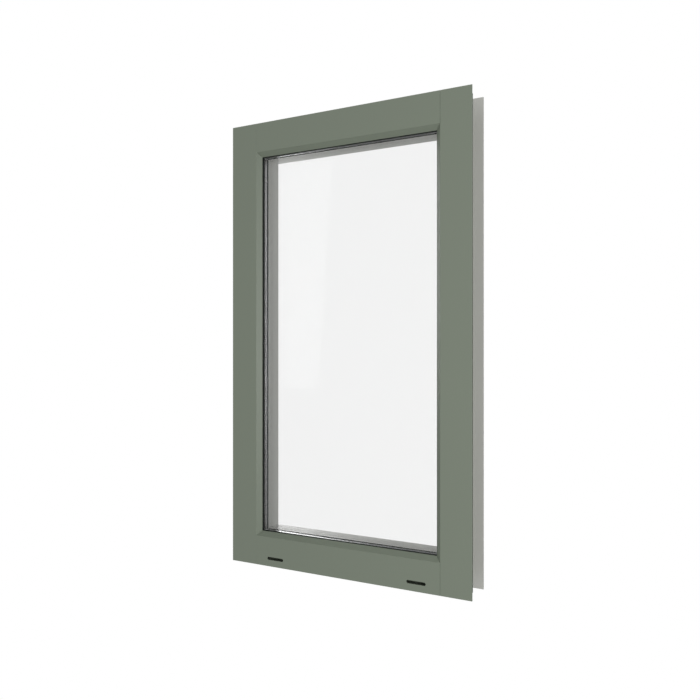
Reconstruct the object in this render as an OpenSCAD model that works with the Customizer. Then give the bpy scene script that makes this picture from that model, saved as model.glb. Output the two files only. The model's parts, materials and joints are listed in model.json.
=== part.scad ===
// Side-hung casement window with a concealed sash and thermally broken profiles.
// X runs to the right as seen from outside, Y from the exterior face into the room, Z up.
// Every cross-section is drawn as (r, d): r is the inset from the frame's outer edge and
// d the depth from the exterior face. The sash hangs on the left and locks on the right.

/* [Window] */
// Overall width of the frame
win_w = 600; // [450:10:900]
// Overall height of the frame
win_h = 1050; // [900:10:1600]
// Depth of the frame from exterior face to room face
frame_d = 82; // [80:0.5:84]

/* [Exterior leaf] */
// Width of the flat face
face_w = 68.5; // [66:0.5:70]
// Run of the 45 degree bevel around the glass
bevel = 10.5; // [9:0.5:10.5]
// Aluminium wall thickness
wall = 2.2; // [1.6:0.1:2.4]
// Inset of the chamber behind the front flange
side_in = 7.8; // [6:0.1:9]
// Depth of the exterior leaf
leaf_d = 30.7; // [29:0.1:31]
// Open seam where the rails meet the lock stile
seam = 0.4; // [0:0.1:0.6]

/* [Interior leaf] */
// Inset of the interior chamber
inner_in = 27; // [26:0.5:28]
// Thickness of the room-side flange
flange_t = 2.7; // [2:0.1:3]

/* [Sash and glass] */
// Inset of the sash edge in the rebate
sash_r = 52; // [52:0.5:53]
// Thickness of each pane
pane_t = 4; // [3:0.5:4]
// Width of the gas space
gas_gap = 10; // [8:1:12]
// Depth of the sash's room face
sash_face = 88; // [88:0.5:90]

/* [Drainage] */
// Length of a drainage slot
slot_l = 44; // [30:1:50]
// Height of a drainage slot
slot_h = 7; // [5:0.5:8]
// Distance of the slots from the middle of the window
slot_x = 177.5; // [120:0.5:180]
// Height of the slots above the bottom edge
slot_z = 18.7; // [16:0.1:22]

/* [Hardware] */
// Height of the handle spindle
handle_z = 525; // [450:5:800]
// Length of the handle lever
lever_l = 118; // [100:1:130]
// Height of the lower hinge's foot
hinge_low = 92; // [80:1:110]
// Radius of the holes for the frame fixings
fix_r = 4; // [3:0.5:4]
// Height of the fixings above the bottom edge and below the top edge
fix_in = 175; // [150:5:200]

/* [Hidden] */
$fn = 48;
tiny = 0.01;
half_w = win_w / 2;
sight = face_w + bevel;        // inset of the visible glass edge
lip_d = bevel + 0.5;           // depth of the lip around the glass
chamber_r = 44;                // inner side of the exterior leaf's chamber
rebate_r = 40;                 // rebate face of the interior leaf
break_end = 56;                // where the thermal break meets the interior leaf
inner_wall = 2;                // wall of the interior leaf and the sash
fix_d = 68;                    // depth of the fixing holes
bar_t = 2.4;                   // thermal break bar
bar_rs = [30.5, 36.5];         // insets of the two bars
claw_t = 1.6;
claw_h = 3;
front_r = 60;                  // inset of the sash's front edge
front_d = 15;                  // depth of the sash's front edge
front_end = 34;                // where the isolator meets the sash's front
sash_d = 47;                   // where it meets the sash's inner profile
shoulder_d = 44;               // sash shoulder behind the centre seal
glass_r = 65;                  // inset of the glass edge
glass_d = 18;                  // depth of the outer glass surface
glass_in = glass_d + 2 * pane_t + gas_gap;
bead_r = 64;
bead_in = sight - 1;           // visible edge of the glazing beads
bead_chamfer = 6.5;
overlap_r = 30;                // outer edge of the sash's overlap
overlap_t = 3.2;
groove = [60, 72.3];           // depths of the hardware groove
rod_r = 54;
rod_t = 3.5;
cam_d = 66;                    // depth of the locking cams
pitch_r = 8;                   // pitch radius of the handle pinion
teeth = 10;
tooth_m = 2 * pitch_r / teeth;
travel = pitch_r * PI;         // rod travel for the half turn of the handle
spindle_r = 46;                // inset of the handle spindle
base_t = 14;
base_w = 30;
base_l = 168;
prong = [54.25, 3];            // inset and thickness of the rack prongs
prong_z = 40;                  // distance of the prongs from the spindle
pad_h = 8;                     // height of the rack's foot that carries the prong
rack_t = 2.5;
gear_d = 92;                   // depth of the pinion and racks
gear_t = 5;
axis_r = 23;                   // hinge axis, inset and depth
axis_d = 95;
knuckle_r = 6.5;
pin_r = 4;
bush_r = 5.2;
running_gap = 0.05;            // between a hinge pin and its bush
hinge_l = 84;
hinge_zs = [hinge_low, win_h - hinge_low - hinge_l];
frame_knuckle = 26;            // length of the knuckles at the ends of a hinge
knuckle_gap = 0.3;
sash_knuckle = [frame_knuckle + knuckle_gap, hinge_l - frame_knuckle - knuckle_gap];
frame_leaf_t = 3;
sash_leaf_t = 3.5;
frame_screw_r = 8.5;           // inset of the screws in the hinge's frame leaf
frame_screw_zs = [33, hinge_l - 33];
sash_screw_rs = [38, 50];      // insets and heights of the screws in its sash leaf
sash_screw_zs = [8, hinge_l - 8];
cam_reach = 165;               // distance of the inner cams from the spindle
cam_in = 120;                  // distance of the outer cams from the top and bottom edges
cams_up = [handle_z + cam_reach, win_h - cam_in];   // cam heights at rest
cams_down = [handle_z - cam_reach, cam_in];
locked_zs = [for (z = cams_up) z + travel, for (z = cams_down) z - travel];
rod_end = 80;                  // distance of the rod ends from the top and bottom edges
rod_start = 22;                // and from the spindle
keeper_t = 2.5;
keeper_w = 21;
keeper_l = 52;
keeper_lip = 7.2;              // reach of the lip that the cam runs behind
keeper_screw_z = 19;
// Screws: head radius, head thickness, shank radius, length
keeper_screw = [3.7, 1.5, 2.1, 8];
hinge_screw = [4.1, 1.6, 2.1, 6.4];
base_screw = [4.6, 2.6, 2.5, 18];
screw_clear = 0.1;             // play round a screw in its hole
base_screw_z = 77;             // distance of the base screws from the spindle
base_hollow = 144;             // length of the hollow inside the handle base
neck_r = 8;                    // lever neck that turns in the base
spindle_w = 7;
socket_w = spindle_w + 0.1;    // square hole that takes the spindle
lever_d = 118;                 // depth of the lever's front
block_l = 45;                  // length of a corner block
play = 0.2;                    // gap round a block or cleat in its chamber
// Straight-flanked gear teeth: half thickness at the pitch line, tip and root heights
tooth_half = PI * tooth_m / 4 - 0.2;
flank = tan(20);
add = 0.75 * tooth_m;
ded = tooth_m;
rack_back = pitch_r + ded + rack_t;   // outer face of a rack from the spindle

// ---- finishes ----
module green() color([0.46, 0.49, 0.44]) children();
module grey() color([0.66, 0.66, 0.64]) children();
module black() color([0.13, 0.14, 0.14]) children();
module steel() color([0.72, 0.73, 0.74]) children();
module silver() color([0.78, 0.79, 0.80]) children();

// ---- placing a cross-section (r, d) on the four sides ----
module left_side(z0 = 0, z1 = win_h) translate([-half_w, 0, z0]) linear_extrude(z1 - z0) children();
module bottom_side(end = 0) translate([half_w - end, 0, 0]) rotate([0, -90, 0])
  linear_extrude(win_w - 2 * end) children();
module to_top() translate([0, 0, win_h]) mirror([0, 0, 1]) children();
module to_right() mirror([1, 0, 0]) children();

// A block between insets r0 and r1 all round, from depth d0 to d1
module ring(r0, r1, d0, d1) {
  difference() {
    translate([r0 - half_w, d0, r0]) cube([win_w - 2 * r0, d1 - d0, win_h - 2 * r0]);
    translate([r1 - half_w, d0 - 1, r1]) cube([win_w - 2 * r1, d1 - d0 + 2, win_h - 2 * r1]);
  }
}
// A flat plate drawn in X and Z, from depth d0, t thick
module plate(d0, t) translate([0, d0 + t, 0]) rotate([90, 0, 0]) linear_extrude(t) children();
// The wedge of the window that a mitred left or bottom member fills
module left_wedge() plate(-1, 120)
  polygon([[-half_w, 0], [0, half_w], [0, win_h - half_w], [-half_w, win_h]]);
module bottom_wedge() plate(-1, 120) polygon([[-half_w, 0], [half_w, 0], [0, half_w]]);
module mitred_left() intersection() { left_side() children(); left_wedge(); }
module mitred_bottom() intersection() { bottom_side() children(); bottom_wedge(); }

// ---- cross-sections of the frame ----
module claws(d, h) for (b = bar_rs, s = [-1, 1])
  translate([b + s * (bar_t + claw_t) / 2 - claw_t / 2, d]) square([claw_t, h]);

module outer_leaf_section() {
  slope = wall * (sqrt(2) - 1);
  difference() {
    polygon([[0, 0], [face_w, 0], [sight, bevel], [sight, lip_d], [chamber_r, lip_d],
             [chamber_r, leaf_d], [side_in, leaf_d], [side_in, wall + 0.2], [0, wall + 0.2]]);
    polygon([[side_in + wall, wall], [chamber_r - wall, wall],
             [chamber_r - wall, leaf_d - wall], [side_in + wall, leaf_d - wall]]);
    polygon([[chamber_r, wall], [face_w - slope, wall],
             [face_w + lip_d - 2 * wall - slope, lip_d - wall], [chamber_r, lip_d - wall]]);
  }
  claws(leaf_d - tiny, claw_h);
}
module break_section() for (b = bar_rs)
  translate([b - bar_t / 2, leaf_d]) square([bar_t, break_end - leaf_d]);

module inner_leaf_section() {
  difference() {
    polygon([[inner_in, break_end], [rebate_r, break_end], [rebate_r, frame_d], [0, frame_d],
             [0, frame_d - flange_t], [inner_in, frame_d - flange_t]]);
    translate([inner_in + inner_wall, break_end + inner_wall])
      square([rebate_r - inner_in - 2 * inner_wall, frame_d - break_end - 2 * inner_wall]);
  }
  claws(break_end - claw_h + tiny, claw_h);
}

// ---- exterior leaf: stiles run the full height, the bevel is mitred ----
module outer_stile() {
  difference() {
    left_side() outer_leaf_section();
    // the bevel stops at the mitre
    for (top = [0, 1]) translate([0, 0, top * win_h]) mirror([0, 0, top]) plate(-1, lip_d + 1)
      polygon([[face_w - half_w, -1], [face_w - half_w, face_w], [sight + 1 - half_w, sight + 1],
               [sight + 1 - half_w, -1]]);
    // the chamber stops short of the flange edge at both ends
    for (z = [-1, win_h - side_in])
      translate([-half_w - 1, wall + 0.2, z]) cube([100, 60, side_in + 1]);
  }
}
module outer_rail() {
  difference() {
    bottom_side(chamber_r) outer_leaf_section();
    for (s = [0, 1]) mirror([s, 0, 0]) plate(-1, lip_d + 1)
      translate([s * seam, 0]) polygon([[-half_w - 1, -1], [face_w - half_w, -1],
        [face_w - half_w, face_w], [sight + 1 - half_w, sight + 1], [-half_w - 1, sight + 1]]);
  }
}
module drain_slot() plate(-1, wall + 2) {
  square([slot_l - slot_h, slot_h], center = true);
  for (s = [-1, 1]) translate([s * (slot_l - slot_h) / 2, 0]) circle(slot_h / 2);
}
module frame_outer_stile_left() green() outer_stile();
module frame_outer_stile_right() green() to_right() outer_stile();
module frame_outer_head() green() to_top() outer_rail();
module frame_outer_sill() green() difference() {
  outer_rail();
  for (s = [-1, 1]) translate([s * slot_x, 0, slot_z]) drain_slot();
}

// ---- polyamide thermal break ----
module thermal_break_left() black() left_side(bar_rs[0] - bar_t / 2, win_h - bar_rs[0] + bar_t / 2)
  break_section();
module thermal_break_right() black() to_right()
  left_side(bar_rs[0] - bar_t / 2, win_h - bar_rs[0] + bar_t / 2) break_section();
module thermal_break_sill() black() bottom_side(rebate_r) break_section();
module thermal_break_head() black() to_top() bottom_side(rebate_r) break_section();

// ---- interior leaf ----
module inner_stile() difference() {
  left_side() inner_leaf_section();
  for (z = [-1, win_h - inner_in + 1])
    translate([-half_w - 1, 50, z]) cube([100, frame_d - flange_t - 50, inner_in]);
  // fixing holes through both walls of the chamber
  for (z = [fix_in, win_h - fix_in])
    translate([inner_in - half_w - 5, fix_d, z]) rotate([0, 90, 0]) cylinder(h = 25, r = fix_r);
}
module frame_inner_stile_left() grey() inner_stile();
module frame_inner_stile_right() grey() to_right() inner_stile();
module frame_inner_sill() grey() bottom_side(rebate_r) inner_leaf_section();
module frame_inner_head() grey() to_top() bottom_side(rebate_r) inner_leaf_section();

// ---- blocks that join the rails to the stiles ----
module four_corners() for (s = [0, 1], t = [0, 1])
  translate([0, 0, t * win_h]) mirror([0, 0, t]) mirror([s, 0, 0]) children();
module frame_outer_corner_blocks() silver() four_corners()
  translate([chamber_r - half_w, lip_d + play, side_in + wall + play])
    cube([block_l, leaf_d - wall - lip_d - 2 * play, chamber_r - side_in - 2 * (wall + play)]);
module frame_inner_corner_blocks() silver() four_corners()
  translate([rebate_r - half_w, break_end + inner_wall + play, inner_in + inner_wall + play])
    cube([block_l, frame_d - break_end - 2 * (inner_wall + play),
          rebate_r - inner_in - 2 * (inner_wall + play)]);

// ---- frame gaskets ----
module exterior_gasket() black() ring(sight - 6.5, sight + 0.3, lip_d, glass_d - 0.4);
module centre_gasket() black() {
  ring(bar_rs[1] + bar_t / 2, rebate_r + 0.5, 37, 47);
  ring(rebate_r + 0.4, sash_r + 3.5, shoulder_d - 2.8, shoulder_d - 0.3);
}

// ---- screws: a flush head with a hexagon socket, pointing along +Z ----
module screw(s) difference() {
  union() {
    translate([0, 0, -s[1]]) cylinder(h = s[1], r = s[0], $fn = 32);
    translate([0, 0, -s[3]]) cylinder(h = s[3] - s[1] + tiny, r = s[2], $fn = 24);
  }
  translate([0, 0, -s[1] * 0.6]) cylinder(h = s[1], r = s[0] * 0.5, $fn = 6);
}
// The countersunk hole that a screw goes through, for parts up to deep thick
module screw_hole(s, deep) {
  translate([0, 0, -deep]) cylinder(h = deep + 1, r = s[2] + screw_clear);
  translate([0, 0, -s[1]]) cylinder(h = s[1] + 1, r = s[0] + screw_clear);
}
module face_room() rotate([-90, 0, 0]) children();   // turns +Z to face the room

// ---- keepers in the lock rebate ----
module at_keepers() for (z = locked_zs) translate([half_w - rebate_r, cam_d, z]) children();
module at_keeper_screws() for (s = [-1, 1])
  translate([-keeper_t, 0, s * keeper_screw_z]) rotate([0, -90, 0]) children();
module keepers() steel() at_keepers() difference() {
  union() {
    translate([-keeper_t, -8, -keeper_l / 2]) cube([keeper_t, keeper_w, keeper_l]);
    translate([-keeper_lip, 5.3, -9]) cube([keeper_lip, 3.7, 18]);
  }
  at_keeper_screws() screw_hole(keeper_screw, keeper_t + 1);
}
module keeper_screws() steel() at_keepers() at_keeper_screws() screw(keeper_screw);

// ---- hinges: three knuckles on a pin beside the sash's overlap ----
module at_hinges() for (z = hinge_zs) translate([-half_w, 0, z]) children();
module at_frame_screws() for (z = frame_screw_zs)
  translate([frame_screw_r, frame_d + frame_leaf_t, z]) face_room() children();
module at_sash_screws() for (r = sash_screw_rs, z = sash_screw_zs)
  translate([r, sash_face + sash_leaf_t, z]) face_room() children();
module hinge_frame_leaves() grey() at_hinges() difference() {
  union() {
    translate([1.5, frame_d, 0]) cube([14.5, frame_leaf_t, hinge_l]);
    for (z = [0, hinge_l - frame_knuckle]) translate([0, 0, z]) linear_extrude(frame_knuckle) {
      polygon([[6, frame_d + 2], [16, frame_d + 2], [axis_r, axis_d - knuckle_r],
               [axis_r - 4.6, axis_d + 4.6]]);
      translate([axis_r, axis_d]) circle(knuckle_r);
    }
  }
  translate([axis_r, axis_d, -1]) cylinder(h = hinge_l + 2, r = pin_r + 0.02);
  at_frame_screws() screw_hole(hinge_screw, frame_leaf_t + 1);
}
module hinge_sash_leaves() grey() at_hinges() difference() {
  union() {
    translate([0, 0, sash_knuckle[0]]) linear_extrude(sash_knuckle[1] - sash_knuckle[0]) {
      translate([axis_r, axis_d]) circle(knuckle_r);
      translate([axis_r, axis_d - knuckle_r]) square([8, sash_leaf_t]);
    }
    translate([overlap_r + 0.5, sash_face, -4]) cube([26, sash_leaf_t, hinge_l + 8]);
  }
  translate([axis_r, axis_d, 0]) cylinder(h = hinge_l, r = bush_r + 0.02);
  at_sash_screws() screw_hole(hinge_screw, sash_leaf_t + 1);
}
module hinge_pins() steel() at_hinges() translate([axis_r, axis_d, 0]) {
  translate([0, 0, -3]) cylinder(h = hinge_l + 6, r = pin_r);
  for (z = [-3, hinge_l]) translate([0, 0, z]) cylinder(h = 3, r = knuckle_r);
}
module hinge_bushes() black() at_hinges() translate([axis_r, axis_d, sash_knuckle[0]])
  difference() {
    cylinder(h = sash_knuckle[1] - sash_knuckle[0], r = bush_r);
    translate([0, 0, -1]) cylinder(h = hinge_l, r = pin_r + running_gap);
  }
module hinge_frame_screws() steel() at_hinges() at_frame_screws() screw(hinge_screw);
module hinge_sash_screws() steel() at_hinges() at_sash_screws() screw(hinge_screw);

// ---- cross-sections of the sash ----
module front_section() polygon([[front_r, front_d], [66, front_d], [66, front_d + 1.6],
  [front_r + 2, front_d + 1.6], [front_r + 2, front_end], [front_r, front_end]]);
module isolator_section() polygon([[front_r, front_end], [front_r + 3, front_end],
  [front_r + 3, sash_d], [sash_r, sash_d], [sash_r, shoulder_d], [front_r, shoulder_d]]);
module sash_section() {
  w = inner_wall;
  overlap_d = sash_face - overlap_t;
  groove_end = sash_r + 6.2;
  difference() {
    polygon([[sash_r, sash_d], [bead_r, sash_d], [bead_r, sash_face], [overlap_r, sash_face],
             [overlap_r, overlap_d], [sash_r, overlap_d]]);
    // hardware groove, with lips that keep the drive rods in
    translate([sash_r + 1.5, groove[0]]) square([groove_end - sash_r - 1.5, groove[1] - groove[0]]);
    translate([sash_r - 1, groove[0] + 2.2]) square([3, groove[1] - groove[0] - 4.4]);
    // chamber
    polygon([[sash_r + w, sash_d + w], [bead_r - w, sash_d + w], [bead_r - w, sash_face - w],
             [sash_r + w, sash_face - w], [sash_r + w, groove[1] + w], [groove_end + w, groove[1] + w],
             [groove_end + w, groove[0] - w], [sash_r + w, groove[0] - w]]);
  }
}
module bead_section() {
  w = 1.8;
  c = bead_chamfer;
  difference() {
    polygon([[bead_r, glass_in + 2], [bead_in, glass_in + 2], [bead_in, sash_face - c],
             [bead_in - c, sash_face], [bead_r, sash_face]]);
    polygon([[bead_r + w, glass_in + 2 + w], [bead_in - w, glass_in + 2 + w],
             [bead_in - w, sash_face - c - w / 2], [bead_in - c - w / 2, sash_face - w],
             [bead_r + w, sash_face - w]]);
  }
}
module sash_front_left() green() mitred_left() front_section();
module sash_front_right() green() to_right() mitred_left() front_section();
module sash_front_bottom() green() mitred_bottom() front_section();
module sash_front_top() green() to_top() mitred_bottom() front_section();
module sash_isolator_left() black() mitred_left() isolator_section();
module sash_isolator_right() black() to_right() mitred_left() isolator_section();
module sash_isolator_bottom() black() mitred_bottom() isolator_section();
module sash_isolator_top() black() to_top() mitred_bottom() isolator_section();
module sash_stile_hinge() grey() mitred_left() sash_section();
module sash_rail_bottom() grey() mitred_bottom() sash_section();
module sash_rail_top() grey() to_top() mitred_bottom() sash_section();
module sash_stile_lock() grey() difference() {
  to_right() mitred_left() sash_section();
  // slots that let the rack prongs reach the drive rods
  slot = prong[1] + 0.8;
  for (s = [0, 1]) translate([half_w - rod_r - slot, 71, handle_z]) mirror([0, 0, s])
    translate([0, 0, prong_z - 4.5]) cube([slot, 20, travel + 9]);
}
module sash_corner_cleats() silver() four_corners() intersection() {
  ring(sash_r + inner_wall + play, bead_r - inner_wall - play, sash_d + inner_wall + play,
       groove[0] - inner_wall - 2 * play);
  translate([-half_w, 40, 0]) cube([110, 30, 110]);
}
module bead_left() grey() mitred_left() bead_section();
module bead_right() grey() to_right() mitred_left() bead_section();
module bead_bottom() grey() mitred_bottom() bead_section();
module bead_top() grey() to_top() mitred_bottom() bead_section();
module overlap_gasket() black() ring(overlap_r + 1.5, overlap_r + 8, frame_d + 0.3, sash_face - overlap_t);

// ---- insulating glass unit ----
module pane(d) color([0.80, 0.88, 0.84, 0.35]) translate([glass_r - half_w, d, glass_r])
  cube([win_w - 2 * glass_r, pane_t, win_h - 2 * glass_r]);
module glass_pane_outer() pane(glass_d);
module glass_pane_inner() pane(glass_in - pane_t);
module glass_spacer() silver() ring(glass_r + 5, sight - 1, glass_d + pane_t, glass_in - pane_t);
module glass_edge_seal() black() ring(glass_r, glass_r + 5, glass_d + pane_t, glass_in - pane_t);
module glass_edge_gasket() black() ring(front_r + 2.2, 66, front_d + 1.6, glass_d);
module bead_gasket() black() ring(glass_r + 5, bead_in - 0.3, glass_in, glass_in + 2);
module setting_blocks() black() {
  for (t = [0, 1], x = [-150, 150]) translate([0, 0, t * win_h]) mirror([0, 0, t])
    translate([x - 40, glass_d + 0.5, glass_r - 3]) cube([80, glass_in - glass_d - 2.5, 3]);
}

// ---- handle ----
module at_spindle() translate([half_w - spindle_r, 0, handle_z]) children();
module rounded(w, h, r) {
  square([w - 2 * r, h], center = true);
  square([w, h - 2 * r], center = true);
  for (s = [-1, 1], t = [-1, 1]) translate([s * (w / 2 - r), t * (h / 2 - r)]) circle(r);
}
module at_base_screws() for (s = [-1, 1])
  translate([0, sash_face + base_t - 0.4, s * base_screw_z]) face_room() children();
module handle_base() silver() at_spindle() difference() {
  plate(sash_face, base_t) rounded(base_w, base_l, 6);
  plate(sash_face - 1, base_t - 1.5) square([base_w - 4.8, base_hollow], center = true);
  translate([0, sash_face, 0]) face_room() cylinder(h = base_t + 1, r = neck_r + running_gap);
  at_base_screws() screw_hole(base_screw, base_t + 1);
}
module handle_base_screws() steel() at_spindle() at_base_screws() screw(base_screw);
// Lever, upright at rest, with a round neck that turns in the base
module handle_lever() silver() at_spindle() difference() {
  union() {
    translate([0, sash_face + 9.5, 0]) face_room() cylinder(h = 24, r = neck_r);
    hull() {
      translate([0, lever_d, 0]) face_room() cylinder(h = 12, r = 10.5, $fn = 32);
      translate([0, lever_d + 3, lever_l - 9]) face_room() cylinder(h = 8, r = 8.5, $fn = 32);
    }
  }
  square_bar(socket_w, sash_face + 2, 31);
}
// Square bar along the spindle's axis, w wide and l long, from depth d0
module square_bar(w, d0, l) translate([-w / 2, d0, -w / 2]) cube([w, l, w]);
module handle_spindle() steel() at_spindle() square_bar(spindle_w, sash_face + 2.5, 30);
module handle_pinion() steel() at_spindle() difference() {
  plate(gear_d, gear_t) polygon([for (i = [0 : teeth - 1])
    for (p = [[pitch_r - ded, -1], [pitch_r + add, -1], [pitch_r + add, 1], [pitch_r - ded, 1]])
      let (h = tooth_half - (p[0] - pitch_r) * flank,
           a = i * 360 / teeth + p[1] * asin(h / p[0]))
        [p[0] * cos(a), p[0] * sin(a)]]);
  square_bar(socket_w, gear_d - 1, gear_t + 2);
}
// Rack teeth that point to +X from the pitch line at x = 0, numbered lo to hi along Z
module rack_teeth(lo, hi) for (k = [lo : hi]) translate([0, (k + 0.5) * PI * tooth_m])
  polygon([[-ded - tiny, -tooth_half - ded * flank], [add, -tooth_half + add * flank],
           [add, tooth_half - add * flank], [-ded - tiny, tooth_half + ded * flank]]);
// Square prong that carries a rack's motion through the sash into its rod
module prong_at(s, grow) translate([half_w - prong[0] - prong[1] - grow, cam_d + 0.3 - grow,
                                    handle_z + s * prong_z - 3 - grow])
  cube([prong[1] + 2 * grow, gear_d + 0.5 - cam_d, 6 + 2 * grow]);
module rack_foot(width) translate([-rack_back, prong_z - pad_h / 2]) square([width, pad_h]);
module upper_rack() steel() {
  prong_at(1, 0);
  at_spindle() plate(gear_d, gear_t) {
    translate([pitch_r, 0]) mirror([1, 0]) rack_teeth(-7, 1);
    translate([pitch_r + ded, -34]) square([rack_t, prong_z + pad_h / 2 + 34]);
    rack_foot(2 * rack_back);
  }
}
module lower_rack() steel() {
  prong_at(-1, 0);
  at_spindle() plate(gear_d, gear_t) {
    translate([-pitch_r, 0]) rack_teeth(-2, 6);
    translate([-rack_back, -prong_z - pad_h / 2]) square([rack_t, prong_z + pad_h / 2 + 34]);
    mirror([0, 1]) rack_foot(7);
  }
}
// Flat rod in the sash groove, from height z0 to z1, notched for its prong
module rod(s, z0, z1) difference() {
  translate([half_w - rod_r - rod_t, groove[0] + 0.25, z0])
    cube([rod_t, groove[1] - groove[0] - 0.5, z1 - z0]);
  prong_at(s, 0.3);
}
module upper_drive_rod() steel() rod(1, handle_z + rod_start, win_h - rod_end);
module lower_drive_rod() steel() rod(-1, rod_end, handle_z - rod_start);
module cams(zs) steel() for (z = zs) translate([half_w - rod_r, cam_d, z]) rotate([0, 90, 0]) {
  cylinder(h = 8, r = 3);
  translate([0, 0, 7.4]) cylinder(h = 3.2, r = 4.75);
}
module upper_locking_cams() cams(cams_up);
module lower_locking_cams() cams(cams_down);

frame_outer_stile_left();
frame_outer_stile_right();
frame_outer_head();
frame_outer_sill();
thermal_break_left();
thermal_break_right();
thermal_break_head();
thermal_break_sill();
frame_inner_stile_left();
frame_inner_stile_right();
frame_inner_head();
frame_inner_sill();
frame_outer_corner_blocks();
frame_inner_corner_blocks();
exterior_gasket();
centre_gasket();
keepers();
keeper_screws();
hinge_frame_leaves();
hinge_frame_screws();
hinge_pins();
sash_front_left();
sash_front_right();
sash_front_top();
sash_front_bottom();
sash_isolator_left();
sash_isolator_right();
sash_isolator_top();
sash_isolator_bottom();
sash_stile_hinge();
sash_stile_lock();
sash_rail_top();
sash_rail_bottom();
sash_corner_cleats();
glass_pane_outer();
glass_pane_inner();
glass_spacer();
glass_edge_seal();
setting_blocks();
glass_edge_gasket();
bead_gasket();
bead_left();
bead_right();
bead_top();
bead_bottom();
overlap_gasket();
hinge_sash_leaves();
hinge_sash_screws();
hinge_bushes();
handle_base();
handle_base_screws();
handle_lever();
handle_spindle();
handle_pinion();
upper_rack();
lower_rack();
upper_drive_rod();
lower_drive_rod();
upper_locking_cams();
lower_locking_cams();
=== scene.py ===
# %% [markdown]
# # A side-hung casement window
# The real window is made of extruded aluminium bars: a sage green outer frame, a light grey
# inner frame, and between them a sash that carries a double pane and swings into the room.
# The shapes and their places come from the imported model. This lesson gives them rounded
# edges, finishes, seals and hardware detail. Units are metres: X to the right as seen from
# outside, Y into the room, Z up.

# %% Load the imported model
import json
import math

import bmesh
import bpy
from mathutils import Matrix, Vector


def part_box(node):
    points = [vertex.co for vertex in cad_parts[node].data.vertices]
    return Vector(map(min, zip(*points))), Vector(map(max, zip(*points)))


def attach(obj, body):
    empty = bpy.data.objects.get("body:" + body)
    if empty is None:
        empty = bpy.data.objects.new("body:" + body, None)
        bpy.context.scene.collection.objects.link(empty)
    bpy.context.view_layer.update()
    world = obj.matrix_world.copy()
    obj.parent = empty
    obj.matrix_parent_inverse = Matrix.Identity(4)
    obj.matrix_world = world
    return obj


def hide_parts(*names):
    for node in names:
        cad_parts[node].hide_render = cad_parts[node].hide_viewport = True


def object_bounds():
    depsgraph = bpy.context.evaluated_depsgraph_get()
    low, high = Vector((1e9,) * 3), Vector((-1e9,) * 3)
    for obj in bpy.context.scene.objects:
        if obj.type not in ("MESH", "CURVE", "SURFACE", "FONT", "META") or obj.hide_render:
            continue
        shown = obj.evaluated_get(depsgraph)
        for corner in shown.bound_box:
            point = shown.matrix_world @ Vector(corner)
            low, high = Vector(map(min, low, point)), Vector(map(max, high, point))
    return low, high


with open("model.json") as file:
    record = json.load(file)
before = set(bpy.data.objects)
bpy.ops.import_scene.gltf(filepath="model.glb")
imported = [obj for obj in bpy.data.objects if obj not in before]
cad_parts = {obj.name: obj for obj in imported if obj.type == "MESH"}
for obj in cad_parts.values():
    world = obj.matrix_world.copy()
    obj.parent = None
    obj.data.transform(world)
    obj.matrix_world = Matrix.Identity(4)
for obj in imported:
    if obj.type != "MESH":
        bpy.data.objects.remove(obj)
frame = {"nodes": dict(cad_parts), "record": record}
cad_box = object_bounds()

mm = 0.001
scene = bpy.context.scene
nodes = frame["nodes"]
bodies = frame["record"]["behaviour"]["bodies"]
body_of = {node: body for body, members in bodies.items() for node in members}

# %% [markdown]
# ## One way to build every node tree
# A finish is a small sum: a colour plus some cloud, a roughness plus some grain. Written as
# wires in code such sums are hard to read, so a socket is wrapped in a class whose operators
# add the Math nodes. The same class serves materials, the sky and Geometry Nodes, because all
# three use the same Math node.


# %% A wrapped socket and a tree that adds nodes
class Wire:
    """An output socket that can be used in Python sums."""

    def __init__(self, tree, socket):
        self.tree, self.socket = tree, socket

    def sum(self, operation, a, b):
        return self.tree.add("ShaderNodeMath", {"operation": operation}, {0: a, 1: b})

    def __add__(self, other):
        return self.sum("ADD", self, other)

    def __sub__(self, other):
        return self.sum("SUBTRACT", self, other)

    def __rsub__(self, other):
        return self.sum("SUBTRACT", other, self)

    def __mul__(self, other):
        return self.sum("MULTIPLY", self, other)

    def __truediv__(self, other):
        return self.sum("DIVIDE", self, other)

    def __mod__(self, other):
        return self.sum("MODULO", self, other)

    __radd__, __rmul__ = __add__, __mul__

    def power(self, exponent):
        return self.sum("POWER", self, exponent)

    def of(self, operation):
        """A function of one value, such as SINE or FLOOR."""
        return self.tree.add("ShaderNodeMath", {"operation": operation}, {0: self})


class Tree:
    """A node tree. Its one method adds a node of any type: settings first, then sockets."""

    def __init__(self, tree):
        self.tree = tree

    def add(self, kind, settings=None, sockets=None, out=0):
        node = self.tree.nodes.new(kind)
        for key, value in (settings or {}).items():
            setattr(node, key, value)
        for key, value in (sockets or {}).items():
            if isinstance(value, Wire):
                self.tree.links.new(value.socket, node.inputs[key])
            else:
                node.inputs[key].default_value = value
        return Wire(self, node.outputs[out]) if len(node.outputs) else None


def mixed(t, share, low, high):
    """A colour between low and high."""
    colours = {0: share, 6: (*low, 1), 7: (*high, 1)}
    return t.add("ShaderNodeMix", {"data_type": "RGBA"}, colours, out=2)


def new_finish(name):
    """A new material, and its empty tree."""
    material = bpy.data.materials.new(name)
    material.use_nodes = True
    material.node_tree.nodes.clear()
    return material, Tree(material.node_tree)


print("a wire can be added, subtracted, multiplied, divided, raised and wrapped round")

# %% [markdown]
# ## Camera
# The view is level, a little below half height and 27 degrees to the right, so the verticals
# stay upright and the right-hand side of the frame can be seen.

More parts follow.
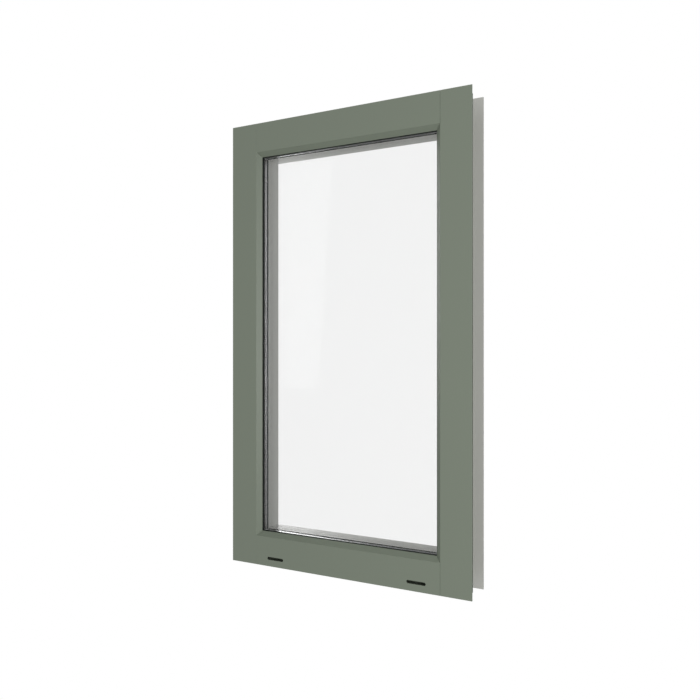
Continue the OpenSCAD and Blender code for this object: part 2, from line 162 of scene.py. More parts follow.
# %% Camera
camera_data = bpy.data.cameras.new("view")
camera_data.sensor_width, camera_data.lens = 36, 35.48
camera = bpy.data.objects.new("view", camera_data)
camera.location = (0.7262, -1.3564, 0.5105)
camera.rotation_euler = (math.radians(90), 0, math.radians(27.48))
scene.collection.objects.link(camera)
scene.camera = camera
scene.view_settings.view_transform = "Standard"
print("camera at", [round(x, 3) for x in camera.location])

# %% [markdown]
# ## Studio
# A window for a catalogue is lit by large soft lamps in an almost white room. The room seen by
# the camera is white; the light that it gives is softer, and stronger from the front, and the
# lamps stand to the sides, so that each bevel has its own tone. A small lamp near the floor
# of the room lights the underside of the reveal. It is hidden from mirrors, because the two
# panes would show it as a bright patch. The floor is pale, and wide enough to meet the white
# behind it; it glows, so that it has the same tone as the white.

# %% Room light
world = bpy.data.worlds.new("studio")
scene.world = world
world.use_nodes = True
world.node_tree.nodes.clear()
EVEN_LIGHT, FRONT_LIGHT, SEEN_WHITE = 0.2, 0.733, 1.0
t = Tree(world.node_tree)
direction = t.add("ShaderNodeTexCoord", out="Generated")
depth = t.add("ShaderNodeSeparateXYZ", {}, {"Vector": direction}, out="Y")
front = t.add("ShaderNodeMath", {"operation": "MAXIMUM"}, {0: depth * -1, 1: 0.0})
glow = front * FRONT_LIGHT + EVEN_LIGHT
soft = t.add("ShaderNodeBackground", {}, {"Color": (1, 1, 1, 1), "Strength": glow})
white = t.add("ShaderNodeBackground", {}, {"Color": (1, 1, 1, 1), "Strength": SEEN_WHITE})
seen = t.add("ShaderNodeLightPath", out="Is Camera Ray")
sky = t.add("ShaderNodeMixShader", {}, {0: seen, 1: soft, 2: white})
t.add("ShaderNodeOutputWorld", {}, {"Surface": sky})
print("room light", EVEN_LIGHT, "all round and", EVEN_LIGHT + FRONT_LIGHT, "in front")


# %% Floor and lamps
def lamp(name, place, aim, size, watts):
    """A square soft lamp at a place, turned towards aim."""
    data = bpy.data.lights.new(name, "AREA")
    data.shape, data.size, data.energy = "SQUARE", size, watts
    obj = bpy.data.objects.new(name, data)
    obj.location = place
    obj.rotation_euler = (Vector(aim) - Vector(place)).to_track_quat("-Z", "Y").to_euler()
    obj.visible_camera = False
    scene.collection.objects.link(obj)
    return obj


middle = (cad_box[0] + cad_box[1]) / 2
lamp("front_lamp", middle + Vector((1.73, -1.67, 0.0)), middle, 1.2, 24.8)
lamp("room_lamp", middle + Vector((1.3, 2.5, 1.3)), middle, 1.6, 3.5)
lamp("far_lamp", middle + Vector((-2.2, 2.0, 0.6)), middle, 1.8, 45.6)
low_lamp = lamp(
    "low_lamp", middle + Vector((-0.2, 1.3, -0.4)), middle + Vector((0, 0, 0.4)), 0.5, 8.8
)
low_lamp.visible_glossy = False

FLOOR, BELOW = 12.0, 1 * mm
corners = [(x * FLOOR, y * FLOOR, -BELOW) for x, y in ((-1, -1), (1, -1), (1, 1), (-1, 1))]
floor_mesh = bpy.data.meshes.new("floor")
floor_mesh.from_pydata(corners, [], [(0, 1, 2, 3)])
floor = bpy.data.objects.new("floor", floor_mesh)
scene.collection.objects.link(floor)
pale, t = new_finish("pale_floor")
shine = t.add("ShaderNodeEmission", {}, {"Color": (1, 1, 1, 1), "Strength": SEEN_WHITE})
t.add("ShaderNodeOutputMaterial", {}, {"Surface": shine})
floor_mesh.materials.append(pale)
floor.visible_diffuse = floor.visible_glossy = False
print("floor", 2 * FLOOR, "m wide")

# %% [markdown]
# ## Powder coat
# Both frames are powder coated: the powder melts to a satin skin with a fine ripple, about a
# millimetre across, that is called orange peel. An even colour with a little cloud in it and
# a low bump gives that. Noise on Object coordinates has its scale in waves per metre, so 900
# is about a millimetre. The cloud is a hand wide, and the finest grain is the powder itself.


# %% Powder coat
CLOUD, RIPPLE, GRAIN = 6.0, 900.0, 2600.0
SPREAD = (0.965, 1.035)


def powder_coat(name, colour, roughness):
    """Satin powder coat of one colour."""
    material, t = new_finish(name)
    place = t.add("ShaderNodeTexCoord", out="Object")
    cloud = t.add("ShaderNodeTexNoise", {}, {"Vector": place, "Scale": CLOUD, "Detail": 3.0})
    grain = t.add("ShaderNodeTexNoise", {}, {"Vector": place, "Scale": GRAIN, "Detail": 1.0})
    ripple = t.add("ShaderNodeTexNoise", {}, {"Vector": place, "Scale": RIPPLE, "Detail": 2.0})
    darker, lighter = ([c * k for c in colour] for k in SPREAD)
    tone = cloud * 0.6 + grain * 0.4
    skin = mixed(t, tone, darker, lighter)
    bump = t.add("ShaderNodeBump", {}, {"Strength": 0.12, "Distance": 0.0001, "Height": ripple})
    surface = t.add(
        "ShaderNodeBsdfPrincipled",
        {},
        {
            "Base Color": skin,
            "Roughness": roughness + (cloud - 0.5) * 0.10 + (grain - 0.5) * 0.06,
            "Normal": bump,
            "IOR": 1.5,
        },
    )
    t.add("ShaderNodeOutputMaterial", {}, {"Surface": surface})
    return material


sage = powder_coat("sage_powder_coat", (0.166, 0.194, 0.149), 0.46)
grey = powder_coat("grey_powder_coat", (0.476, 0.479, 0.446), 0.44)
print("coats:", sage.name, grey.name)

# %% [markdown]
# ## Black parts
# The thermal break bars are polyamide full of glass fibre, pressed through a die, so they are
# matt with fine lines along their length. The lines are noise stretched by a Mapping node; a
# bar runs either along X or along Z, so each direction has its own material. Gaskets are
# rubber: darker and softer in their shine, with a dusty bloom.


# %% Matt black finishes
DRAWN_ACROSS, DRAWN_ALONG = 1400.0, 9.0


def drawn(t, along, fine, slow):
    """Noise stretched along one axis, as the lines that a die leaves."""
    place = t.add("ShaderNodeTexCoord", out="Object")
    stretch = [slow if axis == along else fine for axis in "XYZ"]
    place = t.add("ShaderNodeMapping", {}, {"Vector": place, "Scale": stretch})
    return t.add("ShaderNodeTexNoise", {}, {"Vector": place, "Scale": 1.0, "Detail": 3.0})


def matt_black(name, low, high, roughness, along=None):
    """Polyamide, rubber, nylon or sealant."""
    material, t = new_finish(name)
    place = t.add("ShaderNodeTexCoord", out="Object")
    bloom = t.add("ShaderNodeTexNoise", {}, {"Vector": place, "Scale": 40.0, "Detail": 4.0})
    if along:
        marks = drawn(t, along, DRAWN_ACROSS, DRAWN_ALONG)
    else:
        marks = t.add("ShaderNodeTexNoise", {}, {"Vector": place, "Scale": 1500.0, "Detail": 2.0})
    tone = bloom * 0.5 + marks * 0.5
    skin = mixed(t, tone, low, high)
    bump = t.add("ShaderNodeBump", {}, {"Strength": 0.2, "Distance": 0.0001, "Height": marks})
    surface = t.add(
        "ShaderNodeBsdfPrincipled",
        {},
        {
            "Base Color": skin,
            "Roughness": roughness + (bloom - 0.5) * 0.2,
            "Normal": bump,
            "IOR": 1.33,
        },
    )
    t.add("ShaderNodeOutputMaterial", {}, {"Surface": surface})
    return material


FIBRE = ((0.010, 0.010, 0.010), (0.026, 0.026, 0.026))
polyamide_up = matt_black("polyamide_upright", *FIBRE, 0.6, "Z")
polyamide_across = matt_black("polyamide_across", *FIBRE, 0.6, "X")
rubber = matt_black("gasket_rubber", (0.0085, 0.011, 0.009), (0.015, 0.019, 0.0155), 0.68)
sealant = matt_black("edge_sealant", (0.008, 0.008, 0.009), (0.018, 0.018, 0.019), 0.7)
moulded = matt_black("moulded_plastic", (0.012, 0.012, 0.013), (0.03, 0.03, 0.031), 0.45)
blacks = (polyamide_up, polyamide_across, rubber, sealant, moulded)
print("black finishes:", [m.name for m in blacks])

# %% [markdown]
# ## Bare metals
# The corner blocks are plain extruded aluminium, the handle is satin anodised, the screws and
# pins are bright steel and the rods are zinc plated. All are a metal whose lines run one way;
# the zinc also has pale crystals, which a Voronoi pattern gives.


# %% Metals
def metal(name, low, high, roughness, along, lines=1600.0, crystals=0.0):
    """Drawn or brushed metal, with zinc crystals if asked for."""
    material, t = new_finish(name)
    place = t.add("ShaderNodeTexCoord", out="Object")
    marks = drawn(t, along, lines, 14.0)
    cloud = t.add("ShaderNodeTexNoise", {}, {"Vector": place, "Scale": 25.0, "Detail": 3.0})
    flakes = t.add("ShaderNodeTexVoronoi", {}, {"Vector": place, "Scale": 420.0}, out="Distance")
    tone = marks * (0.5 - crystals / 2) + cloud * 0.5 + flakes * crystals
    skin = mixed(t, tone, low, high)
    bump = t.add("ShaderNodeBump", {}, {"Strength": 0.1, "Distance": 0.00005, "Height": marks})
    surface = t.add(
        "ShaderNodeBsdfPrincipled",
        {},
        {
            "Base Color": skin,
            "Metallic": 1.0,
            "Roughness": roughness + (marks - 0.5) * 0.16 + (cloud - 0.5) * 0.08,
            "Normal": bump,
        },
    )
    t.add("ShaderNodeOutputMaterial", {}, {"Surface": surface})
    return material


mill = metal("mill_aluminium", (0.52, 0.53, 0.54), (0.68, 0.69, 0.70), 0.42, "X")
satin = metal("satin_anodised", (0.56, 0.565, 0.57), (0.66, 0.665, 0.67), 0.32, "Z", 2600.0)
bright = metal("bright_steel", (0.50, 0.50, 0.505), (0.64, 0.64, 0.645), 0.24, "Y")
zinc = metal("zinc_plate", (0.42, 0.43, 0.45), (0.60, 0.61, 0.62), 0.36, "Z", 900.0, 0.5)
rolled = metal("rolled_spacer", (0.46, 0.47, 0.47), (0.62, 0.63, 0.625), 0.30, "Y", 700.0)
print("metals:", [m.name for m in (mill, satin, bright, zinc, rolled)])

# %% [markdown]
# ## Glass
# Clear float glass lets nearly all light through and mirrors a twentieth of it, more at a low
# angle. A real refracting solid would hide the reveal behind it in noise and shadow, so each
# face is a mix: a clear shader, and a mirror whose share follows Schlick's rule, a fifth power
# of the slope, plus a trace of dust. The rule is the same from both sides of a face, so the
# pane stays clear from the room as well.

# %% Glass
GLASS_INDEX = 1.5
HEAD_ON = ((GLASS_INDEX - 1) / (GLASS_INDEX + 1)) ** 2
clear_glass, t = new_finish("clear_float_glass")
place = t.add("ShaderNodeTexCoord", out="Object")
dust = t.add("ShaderNodeTexNoise", {}, {"Vector": place, "Scale": 18.0, "Detail": 6.0})
through = t.add("ShaderNodeBsdfTransparent", {}, {"Color": (0.981, 0.981, 0.981, 1)})
mirror = t.add(
    "ShaderNodeBsdfPrincipled",
    {},
    {"Base Color": (0.9, 0.92, 0.91, 1), "Metallic": 1.0, "Roughness": 0.01 + dust * 0.02},
)
slope = t.add("ShaderNodeLayerWeight", {}, {"Blend": 0.5}, out="Facing")
law = slope.power(5) * (1 - HEAD_ON) + HEAD_ON
pane = t.add("ShaderNodeMixShader", {}, {0: law + dust * 0.006, 1: through, 2: mirror})
t.add("ShaderNodeOutputMaterial", {}, {"Surface": pane})
print("glass mirrors", round(HEAD_ON, 3), "head on")

# %% [markdown]
# ## Finishes on the CAD parts
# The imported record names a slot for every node. Each slot gets its finish here, and the
# polyamide is told apart by the way its bar runs.

# %% Give every CAD node its finish
FINISH = {
    "exterior_coat": sage,
    "interior_coat": grey,
    "gasket_rubber": rubber,
    "clear_glass": clear_glass,
    "spacer_metal": rolled,
    "edge_sealant": sealant,
    "block_plastic": moulded,
    "bush_plastic": moulded,
    "mill_aluminium": mill,
    "hinge_coat": grey,
    "handle_metal": satin,
    "bright_steel": bright,
    "plated_steel": zinc,
}
slot_of = {p["node"]: p["material_slot"] for p in frame["record"]["subparts"]}


def finish_of(node):
    """The finish of a CAD node, from its slot."""
    if slot_of[node] == "polyamide":
        low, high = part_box(node)
        return polyamide_up if high.z - low.z > high.x - low.x else polyamide_across
    return FINISH[slot_of[node]]


for name, obj in nodes.items():
    for slot in obj.material_slots:
        slot.material = finish_of(name)
print("finished nodes:", len(nodes))

# %% [markdown]
# ## Tools for new pieces
# A piece that stands for CAD nodes says so: it rides on their body and replaces them. A mesh
# is shaded smooth except across its sharp edges.


# %% Helpers that place a piece
# points closer than a thousandth of a millimetre are one point
TOUCHING = 1e-6


def soften(mesh, degrees=32):
    """Smooth shading that stops at edges sharper than the angle."""
    mesh.shade_smooth()
    mesh.set_sharp_from_angle(angle=math.radians(degrees))


def bake(obj):
    """Turns an object's modifiers into a plain mesh."""
    done = bpy.data.meshes.new_from_object(obj.evaluated_get(bpy.context.evaluated_depsgraph_get()))
    obj.modifiers.clear()
    obj.data = done
    done.name = obj.name
    return done


def new_object(name, mesh):
    """An object in the scene for a mesh."""
    obj = bpy.data.objects.new(name, mesh)
    scene.collection.objects.link(obj)
    return obj


def outward(mesh):
    """Merges doubles and turns every face outwards."""
    work = bmesh.new()
    work.from_mesh(mesh)
    bmesh.ops.remove_doubles(work, verts=work.verts, dist=TOUCHING)
    bmesh.ops.recalc_face_normals(work, faces=work.faces)
    work.to_mesh(mesh)
    work.free()


def stand_for(piece, *replaced):
    """Says which CAD nodes a piece stands for, hides them and takes their body."""
    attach(piece, body_of[replaced[0]])
    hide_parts(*replaced)
    print(piece.name, len(piece.data.polygons), "faces, for", ", ".join(replaced))


print("slots that a piece can keep:", len(set(slot_of.values())))

# %% [markdown]
# ## Extruded bars with softened edges
# No extruded or cast edge is perfectly sharp: a die leaves a radius of a few tenths of a
# millimetre, which shows as a thin line of light. The CAD bars have knife edges, so each gets
# a copy whose loose triangles are merged and whose edges pass through a Bevel modifier. The
# green bars keep a very small radius, so that the joint of rail and stile stays tight.


# %% A rounded copy
FLAT, CORNER = math.radians(0.5), math.radians(35)


def rounded_copy(node, radius, segments):
    """A merged copy of a CAD node with its edges rounded."""
    mesh = nodes[node].data.copy()
    if "custom_normal" in mesh.attributes:
        mesh.attributes.remove(mesh.attributes["custom_normal"])
    work = bmesh.new()
    work.from_mesh(mesh)
    bmesh.ops.remove_doubles(work, verts=work.verts, dist=TOUCHING)
    bmesh.ops.dissolve_limit(work, angle_limit=FLAT, verts=work.verts, edges=work.edges)
    work.to_mesh(mesh)
    work.free()
    mesh.shade_smooth()
    piece = new_object(node + "_rounded", mesh)
    bevel = piece.modifiers.new("round", "BEVEL")
    bevel.width, bevel.segments = radius, segments
    bevel.limit_method, bevel.angle_limit = "ANGLE", CORNER
    even = piece.modifiers.new("even", "WEIGHTED_NORMAL")
    even.keep_sharp, even.weight = True, 100
    bake(piece)
    stand_for(piece, node)


print("edges of more than", round(math.degrees(CORNER)), "degrees are rounded")

# %% The radius of each bar and plate
SIDES = ("stile_left", "stile_right", "head", "sill")
SASH_BARS = ("sash_stile_hinge", "sash_stile_lock", "sash_rail_top", "sash_rail_bottom")
RADII = {"frame_outer_" + side: 0.15 for side in SIDES}
RADII.update({"frame_inner_" + side: 0.4 for side in SIDES})
RADII.update({bar: 0.4 for bar in SASH_BARS})
RADII.update({"bead_" + side: 0.5 for side in ("left", "right", "top", "bottom")})
RADII.update({"hinge_frame_leaves": 0.6, "hinge_sash_leaves": 0.6, "keepers": 0.5})
RADII["handle_base"] = 1.4
for node, radius in RADII.items():
    rounded_copy(node, radius * mm, 3 if radius > 1 else 2)

# %% [markdown]
# ## Seals and spacer bar: one profile round a rectangle
# Every seal and the spacer bar of the pane follow the same rule: a cross-section runs round
# the window and is mitred at the corners. A curve sweep would pinch the section at each
# corner. A small grid does it exactly: one row of points for each corner, each point pushed to
# its inset and depth. The tree reads the section from the mesh that it modifies.


# %% A Geometry Nodes tree for a mitred ring
def new_tree(name, inputs):
    """A geometry tree with named inputs; gives the tree and its Group Input sockets."""
    group = bpy.data.node_groups.new(name, "GeometryNodeTree")
    group.is_modifier = True
    group.interface.new_socket("Geometry", in_out="INPUT", socket_type="NodeSocketGeometry")
    for label, kind in inputs.items():
        group.interface.new_socket(label, in_out="INPUT", socket_type="NodeSocket" + kind)
    group.interface.new_socket("Geometry", in_out="OUTPUT", socket_type="NodeSocketGeometry")
    t = Tree(group)
    given = group.nodes.new("NodeGroupInput")
    return group, t, {s.name: Wire(t, s) for s in given.outputs if s.name}


def use_tree(obj, group, values):
    """Adds a tree as a modifier and sets its inputs by their identifiers."""
    modifier = obj.modifiers.new(group.name, "NODES")
    modifier.node_group = group
    for item in group.interface.items_tree:
        if item.in_out == "INPUT" and item.name in values:
            modifier[item.identifier] = values[item.name]


def finish_tree(t, shape, material):
    """Ends a tree with real geometry and a material."""
    real = t.add("GeometryNodeRealizeInstances", {}, {"Geometry": shape})
    done = t.add("GeometryNodeSetMaterial", {}, {"Geometry": real, "Material": material})
    t.add("NodeGroupOutput", {}, {0: done})


ring_tree, t, given = new_tree(
    "mitred_ring", {"Width": "Float", "Height": "Float", "Finish": "Material"}
)
shape = given["Geometry"]
count = t.add("GeometryNodeAttributeDomainSize", {"component": "MESH"}, {"Geometry": shape})
grid = t.add("GeometryNodeMeshGrid", {}, {"Vertices X": 5, "Vertices Y": count + 1})
index = t.add("GeometryNodeInputIndex")
corner = (index / (count + 1)).of("FLOOR") % 4
step = (index % (count + 1)) % count
section = t.add("GeometryNodeInputPosition")
point = t.add(
    "GeometryNodeSampleIndex",
    {"data_type": "FLOAT_VECTOR"},
    {"Geometry": shape, "Value": section, "Index": step},
)
inset = t.add("ShaderNodeSeparateXYZ", {}, {"Vector": point}, out="X")
depth = t.add("ShaderNodeSeparateXYZ", {}, {"Vector": point}, out="Y")
turn = (corner - 1.5) * (math.pi / 2)
across = turn.of("COSINE").of("SIGN") * (given["Width"] / 2 - inset)
upward = turn.of("SINE").of("SIGN") * (given["Height"] / 2 - inset) + given["Height"] / 2
place = t.add("ShaderNodeCombineXYZ", {}, {"X": across, "Y": depth, "Z": upward})
ring = t.add("GeometryNodeSetPosition", {}, {"Geometry": grid, "Position": place})
closed = t.add("GeometryNodeMergeByDistance", {}, {"Geometry": ring, "Distance": TOUCHING})
finish_tree(t, closed, given["Finish"])
print("ring tree:", len(ring_tree.nodes), "nodes")

# %% [markdown]
# ### The seals
# Extruded rubber has round corners and small grooves where it gives. The CAD strip says which
# insets and depths the rubber takes, and each list below says how it fills them, as shares
# from 0 to 1. Two of the seals have a nose that stands a little past the bar that holds them,
# because pressed rubber bulges towards the glass.


# %% A ring of one section
win_w = cad_box[1].x - cad_box[0].x
win_h = cad_box[1].z - cad_box[0].z


def ring_piece(name, section, material, replaced):
    """A mitred ring of one cross-section, given in metres as (inset, depth)."""
    edges = [(i, (i + 1) % len(section)) for i in range(len(section))]
    mesh = bpy.data.meshes.new(name)
    mesh.from_pydata([(inset, depth, 0) for inset, depth in section], edges, [])
    piece = new_object(name, mesh)
    use_tree(piece, ring_tree, {"Width": win_w, "Height": win_h, "Finish": material})
    mesh = bake(piece)
    outward(mesh)
    soften(mesh)
    stand_for(piece, replaced)


def cell(node):
    """The insets and depths between which a CAD ring lies, from its own points."""
    low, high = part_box(node)
    outer = low.x + win_w / 2
    inner = max(v.co.x + win_w / 2 for v in nodes[node].data.vertices if v.co.x < 0)
    return outer, inner, low.y, high.y


def fill(node, shape, nose=0.0):
    """Scales a section drawn from 0 to 1 into the cell of a CAD ring, which a nose may pass."""
    r0, r1, d0, d1 = cell(node)
    r1 += nose
    return [(r0 + (r1 - r0) * a, d0 + (d1 - d0) * b) for a, b in shape]


print("rings run round", round(win_w / mm), "by", round(win_h / mm), "mm")

# %% The four seals
# a wedge with a rounded nose at the sight line, a notch in its back and one in its root
WEDGE = [
    (0, 0.06), (0.05, 0), (0.9, 0), (0.97, 0.03), (1, 0.1), (1, 0.9), (0.96, 0.98), (0.9, 1),
    (0.55, 1), (0.5, 0.93), (0.45, 1), (0.1, 1), (0, 0.92), (0, 0.62), (0.06, 0.55), (0, 0.48),
]
# a flat strip with a shallow groove down its back
STRIP = [
    (0, 0.15), (0.06, 0), (0.94, 0), (1, 0.15), (1, 0.85), (0.94, 1), (0.7, 1), (0.66, 0.8),
    (0.34, 0.8), (0.3, 1), (0.06, 1), (0, 0.85),
]
# a bulb that is pressed flat, with a groove
BULB = [
    (0, 0.5), (0.03, 0.24), (0.1, 0.06), (0.2, 0), (0.8, 0), (0.9, 0.06), (0.97, 0.24), (1, 0.5),
    (0.97, 0.76), (0.9, 0.94), (0.8, 1), (0.6, 1), (0.56, 0.86), (0.44, 0.86), (0.4, 1), (0.2, 1),
    (0.1, 0.94), (0.03, 0.76),
]
OUTER_NOSE, BEAD_NOSE = 0.6 * mm, 0.5 * mm
ring_piece("exterior_seal", fill("exterior_gasket", WEDGE, OUTER_NOSE), rubber, "exterior_gasket")
ring_piece("glass_edge_seal_strip", fill("glass_edge_gasket", STRIP), rubber, "glass_edge_gasket")
ring_piece("bead_seal", fill("bead_gasket", STRIP, BEAD_NOSE), rubber, "bead_gasket")
ring_piece("overlap_seal", fill("overlap_gasket", BULB), rubber, "overlap_gasket")

# %% [markdown]
# ### The spacer bar
# The bright line inside the glass is the spacer bar: a thin aluminium tube with rounded
# shoulders and, along the face that is seen, a shallow channel with a row of slits. Behind
# the slits a drying agent keeps the pane from misting. The bar is a ring; its slits are one
# small lens set on points that run round the channel, because that is how they are rolled in.
# The lenses are nearly black: this is painted shade that stands for the dark inside each hole.

# %% Spacer bar
r0, r1, d0, d1 = cell("glass_spacer")
SHOULDER, CHANNEL, CHANNEL_DEEP, SLOPE = 1.2 * mm, 1.6 * mm, 0.25 * mm, 0.3 * mm
centre = (d0 + d1) / 2
bar = [
    (r0, d0),
    (r1 - SHOULDER, d0),
    (r1 - SHOULDER / 3, d0 + 0.35 * mm),
    (r1, d0 + SHOULDER),
    (r1, centre - CHANNEL),
    (r1 - CHANNEL_DEEP, centre - CHANNEL + SLOPE),
]
bar += [(r, 2 * centre - d) for r, d in reversed(bar)]
ring_piece("spacer_bar", bar, rolled, "glass_spacer")
print("spacer", round((d1 - d0) / mm, 1), "mm wide and", round((r1 - r0) / mm, 1), "mm high")

# %% Slits in the spacer bar
slit_tree, t, given = new_tree(
    "slits",
    {"Pitch": "Float", "Length": "Float", "Width": "Float", "Depth": "Float", "Finish": "Material"},
)
path = t.add("GeometryNodeMeshToCurve", {}, {"Mesh": given["Geometry"]})
points = t.add(
    "GeometryNodeResampleCurve", {"mode": "LENGTH"}, {"Curve": path, "Length": given["Pitch"]}
)
along = t.add("GeometryNodeInputTangent")
facing = t.add(
    "FunctionNodeAlignRotationToVector", {"axis": "X", "pivot_axis": "Y"}, {"Vector": along}
)
lens = t.add("GeometryNodeMeshUVSphere", {}, {"Segments": 8, "Rings": 4, "Radius": 0.5})
size = t.add(
    "ShaderNodeCombineXYZ",
    {},
    {"X": given["Length"], "Y": given["Width"], "Z": given["Depth"]},
)
lenses = t.add(
    "GeometryNodeInstanceOnPoints",
    {},
    {"Points": points, "Instance": lens, "Rotation": facing, "Scale": size},
)
finish_tree(t, lenses, given["Finish"])
print("slit tree:", len(slit_tree.nodes), "nodes")

# %% The row of slits
# painted shade: the near-black lenses stand for the dark inside each hole of the spacer bar
slit_painted_shade = matt_black("slit_shadow", (0.006, 0.006, 0.006), (0.02, 0.02, 0.02), 0.8)
floor_line, gap = r1 - CHANNEL_DEEP, 12 * mm
left, right = -win_w / 2 + floor_line, win_w / 2 - floor_line
bottom, top = floor_line, win_h - floor_line
runs = [
    ((left + gap, bottom), (right - gap, bottom)),
    ((right, bottom + gap), (right, top - gap)),
    ((right - gap, top), (left + gap, top)),
    ((left, top - gap), (left, bottom + gap)),
]
ends = [(x, centre, z) for run in runs for x, z in run]
mesh = bpy.data.meshes.new("spacer_slits")
mesh.from_pydata(ends, [(2 * i, 2 * i + 1) for i in range(len(runs))], [])
slits = new_object("spacer_slits", mesh)
slit_size = {"Pitch": 5 * mm, "Length": 1.5 * mm, "Width": 0.3 * mm, "Depth": 0.12 * mm}
use_tree(slits, slit_tree, {**slit_size, "Finish": slit_painted_shade})
bake(slits)
slits.data.shade_smooth()
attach(slits, body_of["glass_spacer"])
print("slits:", len(slits.data.polygons), "faces")

# %% [markdown]
# ## Screws
# Window hardware is held by countersunk screws with a six-lobed socket and a coarse thread.
# One screw is turned from a list of radii and heights, whose last rings go back down into the
# head as a lobed socket. The thread is stepped and not a helix, because it is buried in the
# bar. Geometry Nodes then set the screw on points, each with its own turn, as nobody lines
# sockets up. The points come from the CAD screws: each separate solid gives the middle of its
# head.


# %% Where the CAD screws are
def solids_of(node):
    """The box of each separate solid of a CAD node."""
    work = bmesh.new()
    work.from_mesh(nodes[node].data)
    bmesh.ops.remove_doubles(work, verts=work.verts, dist=TOUCHING)
    left_over, boxes = set(work.verts), []
    while left_over:
        found, queue = set(), [left_over.pop()]
        while queue:
            vert = queue.pop()
            found.add(vert)
            for e in vert.link_edges:
                other = e.other_vert(vert)
                if other in left_over:
                    left_over.discard(other)
                    queue.append(other)
        places = [v.co.copy() for v in found]
        boxes.append(
            [Vector((pick(p[i] for p in places) for i in range(3))) for pick in (min, max)]
        )
    work.free()
    return sorted(boxes, key=lambda b: tuple(round(c, 5) for c in b[0]))


print("keeper screws:", len(solids_of("keeper_screws")))


# %% The outline of a screw
THREAD_PITCH, THREAD_DEPTH = 1.4 * mm, 0.22 * mm


def screw_outline(head_r, head_t, shank_r, length):
    """Radius, height and share of lobes of each ring, from the tip to the socket's floor."""
    tip = [
        (0.0, -length, 0),
        (shank_r * 0.35, -length + 0.1 * mm, 0),
        (shank_r - THREAD_DEPTH, -length + 1.1 * mm, 0),
    ]
    steps = int((length - head_t - 1.6 * mm) / (THREAD_PITCH / 2))
    thread = [
        (shank_r - (THREAD_DEPTH if i % 2 else 0), -length + 1.4 * mm + i * THREAD_PITCH / 2, 0)
        for i in range(steps)
    ]
    head = [
        (shank_r, -head_t - 0.1 * mm, 0),
        (head_r - 0.15 * mm, -0.45 * mm, 0),
        (head_r, -0.3 * mm, 0),
        (head_r - 0.12 * mm, -0.08 * mm, 0),
        (head_r * 0.8, 0.0, 0),
    ]
    socket = [
        (head_r * 0.56, 0.0, 1),
        (head_r * 0.5, -0.1 * mm, 1),
        (head_r * 0.48, -head_t * 0.62, 1),
        (0.0, -head_t * 0.7, 0),
    ]
    return tip + thread + head + socket


print("thread", round(THREAD_DEPTH / mm, 2), "mm deep every", round(THREAD_PITCH / mm, 1), "mm")

# %% One turned screw
SCREW_SIDES, LOBES, LOBE_DEPTH = 36, 6, 0.13


def turned_screw(name, head_r, head_t, shank_r, length):
    """A screw that points along +Z, with the top of its head at the origin."""
    mesh = bpy.data.meshes.new(name)
    work = bmesh.new()
    made = []
    for radius, z, lobed in screw_outline(head_r, head_t, shank_r, length):
        if radius == 0:
            made.append([work.verts.new((0, 0, z))])
            continue
        row = []
        for k in range(SCREW_SIDES):
            a = 2 * math.pi * k / SCREW_SIDES
            r = radius * (1 + LOBE_DEPTH * math.cos(LOBES * a) * lobed)
            row.append(work.verts.new((r * math.cos(a), r * math.sin(a), z)))
        made.append(row)
    for lower, upper in zip(made, made[1:]):
        for k in range(SCREW_SIDES):
            j = (k + 1) % SCREW_SIDES
            quad = [lower[i % len(lower)] for i in (k, j)] + [upper[i % len(upper)] for i in (j, k)]
            work.faces.new(list(dict.fromkeys(quad)))
    bmesh.ops.recalc_face_normals(work, faces=work.faces)
    work.to_mesh(mesh)
    work.free()
    return new_object(name, mesh)


print("a screw has", SCREW_SIDES, "sides and", LOBES, "lobes in its socket")

# %% A Geometry Nodes tree that sets screws on points
screw_tree, t, given = new_tree(
    "screws",
    {"Screw": "Object", "Turn": "Rotation", "Spin": "Float", "Seed": "Int", "Finish": "Material"},
)
points = t.add("GeometryNodeMeshToPoints", {}, {"Mesh": given["Geometry"]})
screw = t.add("GeometryNodeObjectInfo", {}, {"Object": given["Screw"]}, out="Geometry")
spin = t.add(
    "FunctionNodeRandomValue",
    {"data_type": "FLOAT"},
    {2: 0.0, 3: given["Spin"], "Seed": given["Seed"]},
    out=1,
)
own = t.add("FunctionNodeEulerToRotation", {}, {0: t.add("ShaderNodeCombineXYZ", {}, {"Z": spin})})
facing = t.add(
    "FunctionNodeRotateRotation", {"rotation_space": "LOCAL"}, {0: given["Turn"], 1: own}
)
placed = t.add(
    "GeometryNodeInstanceOnPoints", {}, {"Points": points, "Instance": screw, "Rotation": facing}
)
finish_tree(t, placed, given["Finish"])
print("screw tree:", len(screw_tree.nodes), "nodes")

# %% [markdown]
# The hinge and handle screws face the room, so their heads are at the far side in Y. The
# keeper screws face the middle of the window, so their heads are at the low side in X.


# %% Screws in place
HEAD_HEIGHT, SHANK = 0.42, 0.52


def screws(node, facing_room, seed):
    """Detailed screws in the places of one CAD node's screws."""
    boxes = solids_of(node)
    low, high = boxes[0]
    size = high - low
    length, head = (size.y, size.x / 2) if facing_room else (size.x, size.y / 2)
    spots = []
    for low, high in boxes:
        mid = (low + high) / 2
        spots.append((mid.x, high.y, mid.z) if facing_room else (low.x, mid.y, mid.z))
    template = turned_screw(node + "_template", head, head * HEAD_HEIGHT, head * SHANK, length)
    mesh = bpy.data.meshes.new(node + "_turned")
    mesh.from_pydata(spots, [], [])
    piece = new_object(node + "_turned", mesh)
    turn = (math.radians(-90), 0, 0) if facing_room else (0, math.radians(-90), 0)
    values = {"Screw": template, "Turn": turn, "Spin": math.pi, "Seed": seed, "Finish": bright}
    use_tree(piece, screw_tree, values)
    mesh = bake(piece)
    bpy.data.objects.remove(template)
    soften(mesh)
    stand_for(piece, node)


screws("keeper_screws", False, 3)
screws("hinge_frame_screws", True, 5)
screws("hinge_sash_screws", True, 7)
screws("handle_base_screws", True, 9)

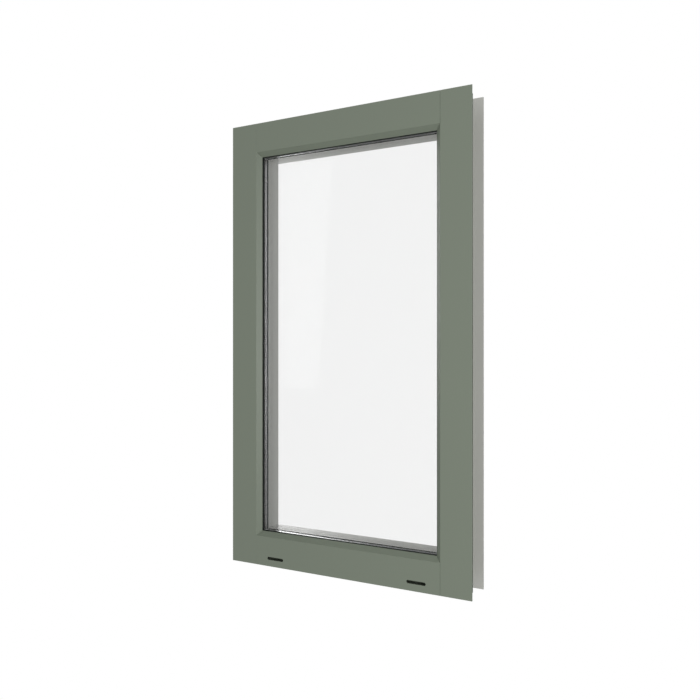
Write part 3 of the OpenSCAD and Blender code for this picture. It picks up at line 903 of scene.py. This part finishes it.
# %% [markdown]
# ## Handle lever
# The lever is a cast bar: a round boss over the neck that flattens into a grip for four
# fingers. It is lofted from rings that are round at the boss and oval along the grip, because
# the section changes all the way. The CAD lever is a straight bar, so this one stays inside
# its box.


# %% A loft
def loft(rings):
    """Joins rings of equal length, each a list of points, into a closed skin."""
    work = bmesh.new()
    made = [[work.verts.new(p) for p in ring] for ring in rings]
    for lower, upper in zip(made, made[1:]):
        for k in range(len(lower)):
            j = (k + 1) % len(lower)
            work.faces.new((lower[k], lower[j], upper[j], upper[k]))
    for row in (made[0], made[-1]):
        hub = work.verts.new(sum((v.co for v in row), Vector()) / len(row))
        for k in range(len(row)):
            work.faces.new((row[k], row[(k + 1) % len(row)], hub))
    bmesh.ops.recalc_face_normals(work, faces=work.faces)
    return work


# %% Sections of the grip
ROUND, STATIONS = 32, 30
NARROWER, NARROWING = 2.6 * mm, 55 * mm
SWELL, SWELLING = 0.9 * mm, 105 * mm
THICK, THINNER, THINNING = 12 * mm, 4 * mm, 70 * mm
SQUARER, SQUARING = 1.4, 30 * mm
END_WIDTH, END_THICKNESS, LEAST = 8 * mm, 5 * mm, 0.3 * mm
low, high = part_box("handle_lever")
boss, reach = (high.x - low.x) / 2, high.z
spindle = Vector(((low.x + high.x) / 2, 0, low.z + (high.x - low.x) / 2))
turns = [2 * math.pi * k / ROUND for k in range(ROUND)]


def share(length, full):
    """How far a length is along full, from 0 to 1."""
    return min(1, max(0, length) / full)


def rounding(to_end, full, least=0.0):
    """A quarter circle that falls to least at the end."""
    return math.sqrt(max(least, 1 - (1 - to_end / full) ** 2)) if to_end < full else 1.0


def grip_size(z):
    """Half width, thickness and squareness of the lever at a height."""
    from_boss, to_end = z - spindle.z, reach - z
    swell = SWELL * math.sin(math.pi * share(from_boss, SWELLING))
    half = min(boss - NARROWER * share(from_boss, NARROWING) + swell, boss)
    if from_boss < 0:
        half = math.sqrt(max(0, boss**2 - from_boss**2))
    half *= rounding(to_end, END_WIDTH)
    thick = THICK - THINNER * share(from_boss, THINNING)
    thick *= rounding(to_end, END_THICKNESS, 0.04)
    return max(half, LEAST), thick, 2.0 + SQUARER * share(from_boss, SQUARING)


print("lever", round((reach - low.z) / mm), "mm long with a boss", round(2 * boss / mm), "mm wide")

# %% The lever from its rings
rings = []
for i in range(STATIONS + 1):
    s = i / STATIONS
    z = low.z + (reach - low.z) * (1 - math.cos(math.pi * s)) / 2
    half, thick, power = grip_size(z)
    row = []
    for a in turns:
        c, q = math.cos(a), math.sin(a)
        x = half * math.copysign(abs(c) ** (2 / power), c)
        y = thick / 2 * math.copysign(abs(q) ** (2 / power), q)
        row.append((spindle.x + x, high.y - THICK / 2 + y, z))
    rings.append(row)
grip = loft(rings)

# radius of the neck and distance from the handle base, in millimetres
NECK = ((8, 0), (8, 15), (8.2, 17), (9.2, 19.2), (9.9, 21.5), (9.9, 24), (6, 26))
rings = []
for radius, along in NECK:
    circle = [(radius * mm * math.cos(a), radius * mm * math.sin(a)) for a in turns]
    rings.append([(spindle.x + x, low.y + along * mm, spindle.z + z) for x, z in circle])
neck = loft(rings)

mesh = bpy.data.meshes.new("cast_lever")
joined = bpy.data.meshes.new("part")
neck.to_mesh(joined)
grip.from_mesh(joined)
grip.to_mesh(mesh)
grip.free()
neck.free()
mesh.materials.append(satin)
soften(mesh, 40)
lever = new_object("cast_lever", mesh)
stand_for(lever, "handle_lever")
